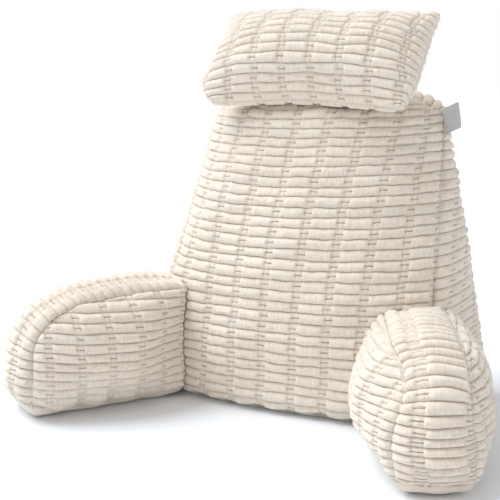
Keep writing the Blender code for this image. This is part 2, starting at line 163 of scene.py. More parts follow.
ARM_RIB_DIP = 0.013  # the sides' ribs lie lower at the root
ARM_FOOT_TUCK = {-1: 0.006, 1: 0.013}  # the inner side, above the floor
ARM_FOOT_LIFT = {-1: 0.008, 1: 0.003}  # the foot of the end
ARM_QUIVER_WAVE = 0.026
ARM_LINES = 161  # of the grids that panels are read from
ARM_BOXING_LINES = 81
ARM_PLAIN_LINES = 33  # of its root and its bottom
WALL_START = 0.12  # run from which the backrest is looked for
WALL_NOT_MET = 0.37  # distance that stands for no hit

# Headrest, as in the part
HEAD_RIBS = 14
HEAD_LENGTH = 0.330
HEAD_WIDTH = 0.172
HEAD_FRONT = 0.052  # swelling of the front panel
HEAD_BACK = 0.044  # and of the back one
HEAD_SIDE_WAIST = 0.030  # hollow of the short sides, as a share of the length
HEAD_EDGE_WAIST = 0.080  # and of the long ones, of the width
HEAD_LOWER_DRAW = 0.07  # it is shorter low down
HEAD_CENTRE = np.array((0.004, 0.133, 0.506))
HEAD_RECLINE = math.radians(43)
HEAD_ROLL = math.radians(-0.3)
HEAD_PRESS_REACH = 0.12  # the backrest is looked for this far ahead
HEAD_SPLIT = -0.32  # place of its bars
HEAD_GATHER = 1.1  # of its cloth, along the ribs
HEAD_NOTCH = 1.4  # and deeper at the ends of its bars
HEAD_LOOSE = 2.0  # its bars stray more
HEAD_WOBBLE = 0.016  # of its ribs, as a share of half its width
HEAD_END_BULGE = 0.0085  # the left end swells low down
HEAD_END_TUCK = 0.013  # and its lower corner is tucked in
HEAD_EAR = 0.003  # the upper right corner
HEAD_TUCK = 0.010  # the lower seam lies back
HEAD_LIFT = 0.0140  # and is drawn up in the middle

# Label, as in the part: a loop of tape with its fold out
LABEL_HEIGHT = 0.042
LABEL_WIDTH = 0.028
LABEL_TAPE = 0.0004  # thickness
LABEL_GAP = 0.0007  # between its two layers
LABEL_FOLD = 0.0015  # the layers meet this close to the fold
LABEL_CURL = 0.0022
LABEL_BOW = 0.0012
LABEL_TURN = math.radians(-30)
LABEL_RIBS = (26.5, 29.5)  # its seam runs between these
LABEL_STAND_OFF = 0.0092
LABEL_POINTS = 41  # round the loop
LABEL_ROWS = 17

# Camera, light and floor
CAMERA_PLACE = Vector((0.659, -1.418, 0.578))
CAMERA_AIM = Vector((-0.023, -0.0325, 0.241))
CAMERA_LENS = 79.2  # mm
WORLD_FILL = 0.68
KEY_PLACE = (-0.58, -0.10, 0.81)
KEY_SPREAD = math.radians(45.0)
KEY_STRENGTH = 2.6
KEY_COLOUR = (0.945, 1.01, 1.06)
FLOOR_REACH = 6.0
FLOOR_COLOUR = (0.89, 0.91, 0.945, 1.0)

# Colours of the cloth, and painted shade in its hollows: the brown it darkens towards, and its shares in
# the valleys, the slits and the split stretches
CREAM_LOW = (0.88, 0.768, 0.645, 1.0)
CREAM_HIGH = (0.935, 0.845, 0.74, 1.0)
CREASE_SHADE_COLOUR = (0.42, 0.27, 0.155, 1.0)
TAPE_LOW = (0.50, 0.50, 0.505, 1.0)
TAPE_HIGH = (0.58, 0.58, 0.575, 1.0)
VALLEY_SHADE = 0.27
SLIT_SHADE = 0.57
SPLIT_SHADE = 0.05


def clipped(value):
    return np.clip(value, 0.0, 1.0)


def smooth(value):
    value = clipped(value)
    return value * value * (3.0 - 2.0 * value)


def mix(start, end, share):
    return start + (end - start) * share


def quarter_round(share):
    """Height of a rounded rim, steep at 0 and level at 1."""
    return np.sqrt(np.maximum(1.0 - (1.0 - share) ** 2, 0.0))


def unit(vectors):
    return vectors / np.maximum(np.linalg.norm(vectors, axis=-1, keepdims=True), 1e-12)


def stack(x, y, z):
    return np.stack(np.broadcast_arrays(x, y, z), axis=-1).astype(float)


def waves(places, wavelength, seed, count=9):
    """A soft uneven field between about -1 and 1: waves in all directions, added up."""
    random = np.random.default_rng(seed)
    places = np.asarray(places, dtype=float)
    total = np.zeros(places.shape[:-1])
    for _ in range(count):
        direction = unit(random.normal(size=places.shape[-1]))
        length = wavelength * random.uniform(0.7, 1.5)
        phase = random.uniform(0.0, 2.0 * math.pi)
        total += np.sin(places @ direction * (2.0 * math.pi / length) + phase)
    return total / math.sqrt(0.5 * count) / 1.6


# ---- plush

def rib_rows(ribs):
    """Places across a panel's ribs, counted in ribs, close together in valleys."""
    return np.array([rib + share for rib in range(ribs) for share in RIB_SHARES] + [ribs])


def lengths_along(points, axis):
    """Distance run along a grid's lines in one direction."""
    steps = np.linalg.norm(np.diff(points, axis=axis), axis=-1)
    run = np.cumsum(steps, axis=axis)
    return np.concatenate([np.zeros_like(np.take(run, [0], axis=axis)), run], axis=axis)


def from_middle_column(points):
    """Distance along each row from its middle column."""
    s = lengths_along(points, 1)
    middle = s.shape[1] // 2
    return s - s[:, middle:middle + 1]


def seam_distance(points):
    """Distance of a grid's points from its nearest side, along its lines."""
    run0, run1 = lengths_along(points, 0), lengths_along(points, 1)
    return np.min(np.stack([run0, run0[-1:] - run0, run1, run1[:, -1:] - run1]), axis=0)


def pattern_lines(low, high, pitch, shares, start=0.0):
    """Places from low to high where a repeated pattern bends; start is where it lies at zero."""
    first, last = math.floor(low / pitch + start) - 1, math.ceil(high / pitch + start) + 1
    counts = range(first, last)
    lines = np.array([(count + share - start) * pitch for count in counts for share in shares])
    return np.concatenate([[low], lines[(lines > low) & (lines < high)], [high]])


def packed(lines, low, high):
    """Lines, with those near or beyond low and high packed in before them."""
    inner = (low + SEAM_MARGIN, high - SEAM_MARGIN)
    return np.interp(lines, (lines[0], *inner, lines[-1]), (low, *inner, high))


def on_lines(grid, values, lines, shifts=None):
    """A grid's rows read at lines along their own values; shifts move each row's lines."""
    result = np.empty((grid.shape[0], len(lines), grid.shape[2]))
    shifts = np.zeros(len(grid)) if shifts is None else shifts
    for row, (places, along) in enumerate(zip(grid, values)):
        at = packed(lines + shifts[row], along[0], along[-1])
        for channel in range(grid.shape[2]):
            result[row, :, channel] = np.interp(at, along, places[:, channel])
    return result


def along_bars(points, s, t, split_at, seed, shares=BAR_SHARES, lines=None, loose=1.0):
    """Points and s of a panel whose columns follow the bars of the pattern."""
    if lines is None:
        lines = pattern_lines(s[:, 0].min(), s[:, -1].max(), REPEAT, shares, split_at)
    shifts = -REPEAT * loose * stray_of(t, seed)
    grid = on_lines(np.concatenate([points, s[..., None]], axis=-1), s, lines, shifts)
    return grid[..., :3], grid[..., 3]


def stray_of(t, seed):
    """How far the bars of the rib at t are off their place, in repeats."""
    stray = np.random.default_rng(seed).normal(0.0, BAR_STRAY, RANDOM_RIBS)
    return stray[np.floor(t / RIB + 1e-6).astype(int) % RANDOM_RIBS]


def relief(repeats, ribs, seed, gather=1.0):
    """Height of the plush at a place on the pattern."""
    rib = np.floor(ribs + 1e-6).astype(int)
    u = clipped(ribs - rib)
    tall = np.random.default_rng(seed + 5).uniform(*RIB_TALL, RANDOM_RIBS)[rib % RANDOM_RIBS]
    away = np.abs(repeats - np.round(repeats))
    split = smooth((SPLIT_HALF + SPLIT_EDGE - away) / (2.0 * SPLIT_EDGE))
    notch = gather * NOTCH * np.exp(-((away - SPLIT_HALF) / NOTCH_HALF) ** 2)
    bar = (1.0 - (2.0 * u ** RIB_LEAN - 1.0) ** 2) ** RIB_BULK
    slit = SLIT_DEPTH * split * np.exp(-((u - 0.5) / SLIT_HALF) ** 2)
    return RIB_RISE * tall * (bar * (1.0 - (1.0 - SPLIT_HEIGHT) * split - notch) - slit)


class Panel:
    """A piece of the cover: a grid of points with their places on the cloth."""

    def __init__(self, points, outward, s, t, split_at=0.0, seed=1, gather=1.0, loose=1.0, rise=1.0):
        """outward is roughly where the panel faces and split_at the place of its bars, in repeats;
        gather, loose and rise make their ends deeper, their stray larger and the ribs higher."""
        self.points = points
        self.seed = seed
        self.gather = gather
        self.rise = rise
        s, t = np.broadcast_to(s, points.shape[:2]), np.broadcast_to(t, points.shape[:2])
        self.repeats = s / REPEAT + split_at + loose * stray_of(t, seed)
        self.ribs = t / RIB
        lines = np.gradient(points, axis=0), np.gradient(points, axis=1)
        normals = unit(np.cross(lines[1], lines[0]))
        middle = normals[points.shape[0] // 2, points.shape[1] // 2]
        self.normals = normals if middle @ np.array(outward) > 0.0 else -normals
        self.edge = seam_distance(points)

    def puffed(self):
        """Points of the panel swollen beside its seams, before the ribs are raised."""
        swell = PUFF * (1.0 - np.exp(-self.edge / PUFF_REACH))
        wide, narrow = (waves(self.points, size, seed) for size, seed in zip(LUMP_WAVES, (17, 18)))
        lumps = LUMP * wide + LUMP_SHORT * LUMP * narrow
        height = swell + smooth(self.edge / LUMP_REACH) * lumps
        return self.points + self.normals * height[..., None]

    def dressed(self):
        """Points of the panel with its ribs and pile raised."""
        fade = quarter_round(clipped(self.edge / ROUND_OFF))
        random = np.random.default_rng(self.seed + 50)
        fuzz = FUZZ * random.normal(size=fade.shape) * smooth(self.edge / FUZZ_REACH)
        height = self.rise * relief(self.repeats, self.ribs, self.seed, self.gather)
        return self.puffed() + self.normals * (height * fade + fuzz)[..., None]


def rib_stray(places, seed, short_wave):
    """How far ribs are off their lines."""
    return WOBBLE * waves(places, WOBBLE_WAVE, seed) + QUIVER * waves(places, short_wave, seed + 1)


def wandering(rows, s, seed):
    """Rows, in ribs, that stray a little from their lines, less towards the seams."""
    ribs = rows[-1]
    line = rows[:, None] + 0.0 * s
    stray = rib_stray(np.stack([s, line * RIB * RIBS_APART], axis=-1), seed, 0.022)
    hold = smooth(line / 2.0) * smooth((ribs - line) / 2.0)
    return line + stray / RIB * hold


def new_object(name, data):
    item = bpy.data.objects.new(name, data)
    bpy.context.scene.collection.objects.link(item)
    return item


class Cover:
    """Panels and strips, welded along their seams into one mesh."""

    def __init__(self):
        self.points, self.cloth, self.faces = [], [], []

    def add_points(self, points, cloth):
        start = sum(map(len, self.points))
        self.points.append(points.reshape(-1, 3))
        self.cloth.append(cloth.reshape(-1, 2))
        return start

    def add_grid(self, points, cloth=None):
        """A grid's faces; cloth has its places on the pattern, or it is plain."""
        rows, columns = points.shape[:2]
        cloth = np.full((rows, columns, 2), PLAIN_PLACE) if cloth is None else cloth
        start = self.add_points(points, cloth)
        index = start + np.arange(rows * columns).reshape(rows, columns)
        quads = np.stack([index[:-1, :-1], index[:-1, 1:], index[1:, 1:], index[1:, :-1]], axis=-1)
        self.faces += [tuple(quad) for quad in quads.reshape(-1, 4).tolist()]

    def add_panel(self, panel, points=None):
        points = panel.dressed() if points is None else points
        self.add_grid(points, np.stack([panel.repeats, panel.ribs], axis=-1))

    def add_strip(self, low, high):
        """Triangles between two lines of points that need not be equally many."""
        runs = [run / run[-1] for run in (lengths_along(line, 0) for line in (low, high))]
        points = np.concatenate([low, high])
        start = self.add_points(points, np.full((len(points), 2), PLAIN_PLACE))
        i = j = 0
        while i < len(low) - 1 or j < len(high) - 1:
            a, b = start + i, start + len(low) + j
            if j == len(high) - 1 or (i < len(low) - 1 and runs[0][i + 1] <= runs[1][j + 1]):
                self.faces.append((a, a + 1, b))
                i += 1
            else:
                self.faces.append((a, b + 1, b))
                j += 1

    def build(self, name, material):
        """The finished piece, with its places on the pattern as a UV layer."""
        points = np.concatenate(self.points) + PART_SHIFT
        cloth = np.concatenate(self.cloth)
        data = bpy.data.meshes.new(name)
        data.from_pydata(points.tolist(), [], self.faces)
        corners = np.empty(len(data.loops), dtype=np.int32)
        data.loops.foreach_get("vertex_index", corners)
        layer = data.uv_layers.new(name="cloth")
        layer.data.foreach_set("uv", cloth[corners].astype(np.float32).ravel())
        mesh = bmesh.new()
        mesh.from_mesh(data)
        bmesh.ops.remove_doubles(mesh, verts=mesh.verts, dist=WELD)
        bmesh.ops.recalc_face_normals(mesh, faces=mesh.faces)
        if mesh.calc_volume(signed=True) < 0.0:
            bmesh.ops.reverse_faces(mesh, faces=mesh.faces)
        for face in mesh.faces:
            face.smooth = True
        mesh.to_mesh(data)
        mesh.free()
        data.materials.append(material)
        return new_object(name, data)


# ---- backrest

def middle_line():
    """(Y, Z) of the front's middle line at each half rib."""
    step = 0.5 * RIB
    height = (np.arange(2 * FRONT_RIBS) + 0.5) * step
    tuck_low = smooth((FRONT_TUCK_LENGTH - height) / FRONT_TUCK_LENGTH)
    tuck_high = smooth((height - FRONT_LENGTH + FRONT_TUCK_LENGTH) / FRONT_TUCK_LENGTH)
    lean = FRONT_LEAN_LOW + FRONT_LEAN_RATE * height
    lean = lean + FRONT_TUCK_HIGH * tuck_high - FRONT_TUCK_LOW * tuck_low
    y = np.concatenate([[0.0], np.cumsum(step * np.sin(lean))])
    z = BACKREST_SEAM_RISE + np.concatenate([[0.0], np.cumsum(step * np.cos(lean))])
    return y, z


MIDDLE_Y, MIDDLE_Z = middle_line()


def middle_at(ribs):
    """(Y, Z) of the front's middle line, at ribs from its foot."""
    rows = np.arange(len(MIDDLE_Y)) / 2.0
    return np.interp(ribs, rows, MIDDLE_Y), np.interp(ribs, rows, MIDDLE_Z)


def corner_share(ribs):
    """From 0 where the upper corners begin to round to 1 at the top seam."""
    return clipped((ribs * RIB - FRONT_LENGTH + CORNER_LENGTH) / CORNER_LENGTH)


def half_width(ribs):
    straight = mix(BACKREST_HALF_LOW, BACKREST_HALF_HIGH, ribs / FRONT_RIBS)
    return straight - CORNER_DRAW * (1.0 - np.sqrt(1.0 - (0.8 * corner_share(ribs)) ** 2))


def crown_depth(ribs):
    """How far the side seams lie behind the front's middle."""
    share = ribs / FRONT_RIBS
    rise, fall = smooth((share - 0.15) / 0.6), smooth((share - 0.86) / 0.14)
    return mix(mix(CROWN_LOW, CROWN_HIGH, rise), CROWN_TOP, fall)


def pinch_depth(across, ribs):
    """How far the headrest draws the front panel's top in."""
    line = PINCH_LINE - 0.4 * across
    depth = PINCH_LINE_DEPTH * np.exp(-((ribs - line) / 0.7) ** 2)
    depth = depth - ROLL_UP * np.exp(-((ribs - line + 1.6) / 1.4) ** 2)
    depth = depth * clipped(1.0 - across ** 4)
    for place, rib, size in PINCHES:
        depth = depth + size * np.exp(-((across - place) / 0.055) ** 2 - ((ribs - rib) / 1.2) ** 2)
    return depth


def sideways(ribs):
    return BACKREST_SIDEWAYS * smooth((ribs / FRONT_RIBS - 0.38) / 0.62)


def front_point(across, ribs):
    """Places on the front panel; across runs from -1 to 1 between the side seams."""
    across, ribs = np.broadcast_arrays(across, ribs)
    y, z = middle_at(ribs)
    x = across * half_width(ribs)
    crown = 0.58 * across ** 2 + 0.42 * across ** 6
    tilt = ROW_TILT * smooth(ribs / FRONT_RIBS / 0.3)
    drop = TOP_SEAM_DROP * smooth(corner_share(ribs)) * np.abs(across) ** 3
    y = y + crown_depth(ribs) * crown
    rise = floor_wave(x, 0.0) * clipped(1.0 - ribs / 1.5)
    return stack(x + sideways(ribs), y, z + tilt * x - drop + rise)


def back_point(across, ribs):
    """Places on the back panel, level with the front ones."""
    across, ribs = np.broadcast_arrays(across, ribs)
    share = ribs / FRONT_RIBS
    half = half_width(ribs) + mix(BACK_FLARE_LOW, BACK_FLARE_HIGH, smooth(share))
    puff = BACK_CROWN * (1.0 - np.abs(across) ** 2.6) * (1.0 - np.abs(2.0 * share - 1.0) ** 4)
    bow = BACK_TOP_BOW * smooth((share - 0.7) / 0.3) * (1.0 - across ** 2)
    level = front_point(across, ribs)[..., 2]
    return stack(across * half + sideways(ribs), BACK_DEPTH + puff - bow, level)


def outline_normal(ribs):
    turn = math.radians(50) * smooth(corner_share(ribs))
    return np.cos(turn), np.sin(turn)


def between(front, back, through, bulge, normal):
    """Places from front to back that swell towards normal on the way."""
    through = through[..., None]
    return mix(front, back, through) + bulge * 4.0 * through * (1.0 - through) * normal


def side_point(side, through, ribs):
    """Places on the side boxing; through runs from 0 at the front to 1 at the back."""
    front, back = front_point(side, ribs), back_point(side, ribs)
    out, up = outline_normal(ribs)
    return between(front, back, through, SIDE_BULGE, stack(side * out, 0.0, up))


def top_point(across, through):
    """Places on the top boxing."""
    front, back = front_point(across, FRONT_RIBS), back_point(across, FRONT_RIBS)
    out, up = outline_normal(FRONT_RIBS)
    tilt = np.abs(across) ** 3
    normal = stack(np.sign(across) * out * tilt, 0.0, mix(1.0, up, tilt))
    return between(front, back, through, TOP_BULGE, normal)


def bottom_point(across, through):
    """Places on the bottom panel, before it is laid on the floor."""
    none = np.zeros_like(across)
    front, back = front_point(across, none), back_point(across, none)
    side = side_point(1.0, through, none)[..., 0]
    x, y, z = (mix(front[..., axis], back[..., axis], through) for axis in range(3))
    return stack(x + across * (side - np.abs(x[:, -1:])), y, z)


def to_seams(count):
    """From -1 to 1, closer together near the ends."""
    u = np.linspace(-1.0, 1.0, count + 1)
    return u * (1.2 - 0.2 * u * u)


def onto_floor(points):
    """A bottom panel laid on the floor, and its places on the pattern."""
    edge = seam_distance(points)
    share = clipped(edge / (1.6 * points[..., 2]))
    laid = points.copy()
    laid[..., 2] *= 1.0 - quarter_round(share)
    return laid, np.stack([np.full_like(edge, PLAIN_PLACE), edge / RIB], axis=-1)


def floor_wave(x, y):
    """How much higher than its lowest place a bottom seam lies."""
    places = np.stack(np.broadcast_arrays(x, y), axis=-1)
    return FLOOR_WAVE * (1.0 + waves(places, FLOOR_WAVE_LENGTH, 61, 7))


def front_along(points, ribs):
    """Distance along each row from where the split stretches are counted."""
    start_x, shift, climb, columns = FRONT_SPLIT_START
    run = lengths_along(points, 1)
    zero = np.array([np.interp(start_x, row[:, 0], line) for row, line in zip(points, run)])
    return run - zero[:, None] - shift - climb * ribs * RIB + columns * REPEAT


def build_backrest(material):
    rows = rib_rows(FRONT_RIBS)
    line = rows[:, None]
    dense = to_seams(DENSE)
    through = np.linspace(0.0, 1.0, 21)
    cover = Cover()

    ribs = wandering(rows, lengths_along(front_point(dense, line), 1), 3)
    base = front_point(dense, ribs)
    s = front_along(base, line)
    base[..., 1] += pinch_depth(dense, ribs)
    points, s = along_bars(base, s, rows * RIB, 0.0, 11)
    front = Panel(points, (0, -1, 0), s, line * RIB, seed=11)
    cover.add_panel(front)

    ribs = wandering(rows, lengths_along(back_point(dense, line), 1), 4)
    base = back_point(dense, ribs)
    points, s = along_bars(base, from_middle_column(base), rows * RIB, 0.0, 12, FEW_BAR_SHARES)
    back = Panel(points, (0, 1, 0), s, line * RIB, seed=12)
    cover.add_panel(back)

    side_ends = []
    for side, column in ((-1.0, 0), (1.0, -1)):
        points = side_point(side, through, line)
        cover.add_panel(Panel(points, (side, 0, 0), lengths_along(points, 1), line * RIB, SIDE_SPLIT, 13))
        cover.add_strip(points[:, 0], front.points[:, column])
        cover.add_strip(points[:, -1], back.points[:, column])
        side_ends.append(points[-1])

    top_rows = rib_rows(TOP_RIBS)
    across, share = np.meshgrid(top_rows / TOP_RIBS * 2.0 - 1.0, through, indexing="ij")
    points = top_point(across, share)
    t = top_rows[:, None] * RIB
    cover.add_panel(Panel(points, (0, 0, 1), lengths_along(points, 1), t, seed=14))
    ends = (front.points[-1], back.points[-1], *side_ends)
    for edge, end in zip((points[:, 0], points[:, -1], points[0], points[-1]), ends):
        cover.add_strip(edge, end)

    floor_through = np.linspace(0.0, 1.0, 15)
    floor_through = smooth(floor_through) * 0.5 + 0.5 * floor_through
    across, share = np.meshgrid(to_seams(90), floor_through)
    under, cloth = onto_floor(bottom_point(across, share))
    cover.add_grid(under, cloth)
    cover.add_strip(under[0], front.points[0])
    cover.add_strip(under[-1], back.points[0])
    for side, edge in ((-1.0, under[:, 0]), (1.0, under[:, -1])):
        cover.add_strip(edge, side_point(side, through, 0.0 * through))
    return cover.build("backrest_cushion", material)


# ---- arms

class Arm:
    """An arm's shape, in runs along it, ways across it and heights."""

    def __init__(self, side, wall):
        splay = ARM_SPLAY[side]
        self.side = side
        self.wall = wall
        self.length = ARM_LENGTH[side]
        self.seam_high = ARM_SEAM_HIGH[side]
        self.root = np.array((side * ARM_ROOT_SIDE, ARM_ROOT_DEPTH, 0.0))
        self.along = np.array((side * math.sin(splay), -math.cos(splay), 0.0))
        self.out = np.array((side * math.cos(splay), math.sin(splay), 0.0))

    def place(self, run, cross, height):
        """Places in the part's own directions."""
        run, cross, height = np.broadcast_arrays(run, cross, height)
        flat = self.root + run[..., None] * self.along + cross[..., None] * self.out
        return flat + stack(0.0, 0.0, height)

    def front_run(self, up):
        """The run at which the end stands, at a share of the height."""
        corner = clipped((up - 0.62) / 0.38)
        round_off = ARM_CORNER * (1.0 - np.sqrt(1.0 - (0.85 * corner) ** 2))
        return self.length - ARM_FRONT_SLOPE * up - round_off

    def seam_height(self, run):
        """Height of the top seams."""
        share = clipped(run / self.length)
        drop = ARM_CORNER_DROP * smooth((run - self.length + 0.090) / 0.070)
        return mix(self.seam_high, ARM_SEAM_LOW, share) - drop

    def panel_cross(self, up, forward, share):
        """Half the arm's width, on the outer side at share 1 and on the inner one at -1."""
        seam = 0.5 * mix(ARM_BOTTOM, ARM_BOXING, smooth(up))
        rise = (4.0 * up * (1.0 - up)) ** 0.75
        root = mix(ARM_INNER_ROOT[self.side], ARM_OUTER_ROOT, smooth(0.5 + 0.5 * share))
        run = (1.0 - forward ** 4) ** 0.8 * mix(root, 1.0, smooth(forward / 0.4))
        return seam + ARM_CROWN * rise * run

    def cross_at(self, share, up, forward):
        """Way across the arm, at a share from -1 to 1 of its half width."""
        draw = ARM_END_DRAW[self.side] * smooth((up - 0.45) / 0.55) * smooth((forward - 0.72) / 0.28)
        tuck = smooth((0.45 - up) / 0.45) * smooth((forward - 0.3) / 0.4)
        tuck = tuck * mix(1.0, 0.55, smooth(forward / 0.25 - 3.0))
        draw = draw + ARM_FOOT_TUCK[self.side] * tuck
        return share * self.panel_cross(up, forward, share) + 0.5 * (1.0 - share) * draw

    def low_edge(self, run, cross):
        """Height of the bottom seams at a place in plan."""
        places = self.place(run, cross, 0.0)
        lift = ARM_FOOT_LIFT[self.side] * smooth((run - self.length + 0.05) / 0.05)
        return ARM_SEAM_RISE + floor_wave(places[..., 0], places[..., 1]) + lift

    def wall_run(self, cross, height):
        """The run at which lines along the arm meet the backrest."""
        cross, height = np.broadcast_arrays(cross, height)
        back = Vector(-self.along)
        runs = []
        for beside, above in ((0, 0), (-1, 0), (1, 0), (0, -1), (0, 1)):
            starts = self.place(WALL_START, cross + CLEAR_AROUND * beside, height + CLEAR_AROUND * above)
            starts = starts.reshape(-1, 3) + PART_SHIFT
            hits = [self.wall.ray_cast(Vector(start), back)[3] for start in starts]
            runs.append([WALL_START - (WALL_NOT_MET if hit is None else hit) + SEAM_GAP for hit in hits])
        return np.max(runs, axis=0).reshape(cross.shape)

    def panel_grid(self, hand, ups, forwards):
        """The outer side panel where hand is 1, and the inner one at -1."""
        up, forward = np.meshgrid(ups, forwards, indexing="ij")
        wall_height = mix(ARM_SEAM_RISE, self.seam_high, ups)
        wall = self.wall_run(hand * self.panel_cross(ups, 0.0, hand), wall_height)
        run = mix(wall[:, None], self.front_run(up), forward)
        cross = self.cross_at(hand, up, forward)
        height = mix(self.low_edge(run[:1], cross[:1]), self.seam_height(run), up)
        return self.place(run, cross, height)

    def rib_height(self, places, height, forward):
        """Places across the ribs, which lie a little lower at the root."""
        level = height - ARM_SEAM_RISE + ARM_RIB_DIP * (1.0 - forward)
        wander = rib_stray(places * np.array((1.0, 1.0, RIBS_APART)), 23, ARM_QUIVER_WAVE)
        return level * ARM_RIBS[self.side] * RIB / (self.seam_high - ARM_SEAM_RISE) + wander + RIB

    def along_from_middle(self, points):
        """Distance along each row from one upright line across the panel."""
        run = (points - self.root) @ self.along
        s = lengths_along(points, 1)
        zero = np.array([np.interp(0.5 * self.length, row, line) for row, line in zip(run, s)])
        return s - zero[:, None]

    def bulge(self, share, turn):
        """Swelling of the boxing ahead and up; turn is 0 at the end and 1 on top."""
        size = mix(ARM_FRONT_BULGE, ARM_TOP_BULGE, turn) * (1.0 - share ** 2)
        angle = 0.5 * math.pi * turn
        return size * np.cos(angle), size * np.sin(angle)

    def boxing_grid(self, shares, ups, forwards):
        """The strip up the arm's end and back along its top, and places across its ribs."""
        up, share = np.meshgrid(ups, shares, indexing="ij")
        ahead, rise = self.bulge(share, 0.6 * smooth((up - 0.5) / 0.5))
        ahead = ahead * mix(0.5, 1.0, smooth(up / 0.35))
        run, cross = self.front_run(up), self.cross_at(share, up, 1.0)
        level = mix(self.low_edge(run[:1], cross[:1]), self.seam_height(run), up)
        end = self.place(run + ahead, cross, level + rise)
        end_t = self.rib_height(end, level, 1.0)

        forward, share = np.meshgrid(forwards[-2::-1], shares, indexing="ij")
        height = self.seam_high + ARM_ROOT_FLAT * ARM_TOP_BULGE * (1.0 - shares ** 2)
        wall = self.wall_run(shares * self.panel_cross(1.0, 0.0, shares), height)
        run = mix(wall[None, :], self.front_run(1.0), forward)
        ahead, rise = self.bulge(share, mix(1.0, 0.6, smooth((forward - 0.75) / 0.25)))
        rise = rise * mix(ARM_ROOT_FLAT, 1.0, smooth(forward / 0.35))
        top = self.place(run + ahead, self.cross_at(share, 1.0, forward), self.seam_height(run) + rise)

        grid = np.concatenate([end, top])
        run = lengths_along(grid[len(ups) - 1:], 0)[1:]
        places = top * np.array((RIBS_APART, RIBS_APART, 1.0))
        wander = QUIVER * waves(places, ARM_QUIVER_WAVE, 26) * smooth(run / 0.02)
        return grid, np.concatenate([end_t, end_t[-1:] + run + wander])

    def root_grid(self, shares, ups):
        """The open end, against the backrest."""
        up, share = np.meshgrid(ups, shares, indexing="ij")
        cross = share * self.panel_cross(up, 0.0, share)
        height = mix(ARM_SEAM_RISE, self.seam_high, up)
        wall = self.wall_run(cross, height)
        height = mix(self.low_edge(wall[:1], cross[:1]), self.seam_high, up)
        bulge = ARM_ROOT_FLAT * ARM_TOP_BULGE * (1.0 - share ** 2)
        height = height + bulge * smooth((up - 0.9) / 0.1)
        return self.place(self.wall_run(cross, height), cross, height)

    def bottom_grid(self, shares, forwards):
        forward, share = np.meshgrid(forwards, shares, indexing="ij")
        wall = self.wall_run(shares * self.panel_cross(0.0, 0.0, shares), ARM_SEAM_RISE)
        ahead = 0.5 * self.bulge(share, 0.0)[0]
        cross = self.cross_at(share, 0.0, forward)
        edge_run = mix(wall[None, :], self.front_run(0.0), forward)
        run = mix(wall[None, :], self.front_run(0.0) + ahead, forward)
        return self.place(run, cross, self.low_edge(edge_run, cross))


def follow_pattern(points, t, along, split_at, gather, seed):
    """Points, s and t of a panel along its ribs and bars; along gives a grid's s."""
    t_lines = pattern_lines(t.min(), t.max(), RIB, RIB_SHARES)
    grid = np.concatenate([points, t[..., None]], axis=-1).transpose(1, 0, 2)
    grid = on_lines(grid, t.T, t_lines).transpose(1, 0, 2)
    s = along(grid[..., :3]) * gather
    grid = np.concatenate([grid, s[..., None]], axis=-1)
    s_lines = pattern_lines(s[:, 0].min(), s[:, -1].max(), REPEAT, BAR_SHARES, split_at)
    middle = grid.shape[1] // 2
    grid = on_lines(grid, s, s_lines, -REPEAT * stray_of(grid[:, middle, 3], seed))
    return grid[..., :3], grid[..., 4], grid[..., 3]


def build_arm(name, side, wall, material):
    arm = Arm(side, wall)
    ups = forwards = np.linspace(0.0, 1.0, ARM_LINES)
    shares = np.linspace(-1.0, 1.0, ARM_BOXING_LINES)
    cover = Cover()

    grid, t = arm.boxing_grid(shares, ups, forwards)
    points, s, t = follow_pattern(grid, t, from_middle_column, ARM_END_SPLIT, ARM_END_GATHER, 25)
    outward = arm.along + np.array((0.0, 0.0, 1.0))
    boxing = Panel(points, outward, s, t, ARM_END_SPLIT, 25, rise=ARM_END_RISE)
    cover.add_panel(boxing)

    few_shares = np.linspace(-1.0, 1.0, ARM_PLAIN_LINES)
    root = arm.root_grid(few_shares, ups[::2])
    cover.add_grid(root)
    cover.add_strip(boxing.points[-1], root[-1])
    under, cloth = onto_floor(arm.bottom_grid(few_shares, forwards[::2]))
    cover.add_grid(under, cloth)
    cover.add_strip(under[-1], boxing.points[0])
    cover.add_strip(under[0], root[0])

    for hand, edge in ((-1, 0), (1, -1)):
        grid = arm.panel_grid(hand, ups, forwards)
        t = arm.rib_height(grid, grid[..., 2], forwards)
        seed = 21 + hand
        points, s, t = follow_pattern(grid, t, arm.along_from_middle, ARM_SIDE_SPLIT,
                                      ARM_SIDE_GATHER, seed)
        cover.add_panel(Panel(points, arm.out * hand, s, t, ARM_SIDE_SPLIT, seed))
        cover.add_strip(np.concatenate([points[:, -1], points[-1, -2::-1]]), boxing.points[:, edge])
        cover.add_strip(points[:, 0], root[:, edge])
        cover.add_strip(points[0], under[:, edge])
    return cover.build(name, material)


# ---- headrest

def head_axes():
    """The headrest's own right, up and front directions."""
    right = np.array((math.cos(HEAD_ROLL), 0.0, -math.sin(HEAD_ROLL)))
    lean = np.array((0.0, math.sin(HEAD_RECLINE), math.cos(HEAD_RECLINE)))
    up = unit(lean - right * (lean @ right))
    return right, up, -np.cross(up, right)


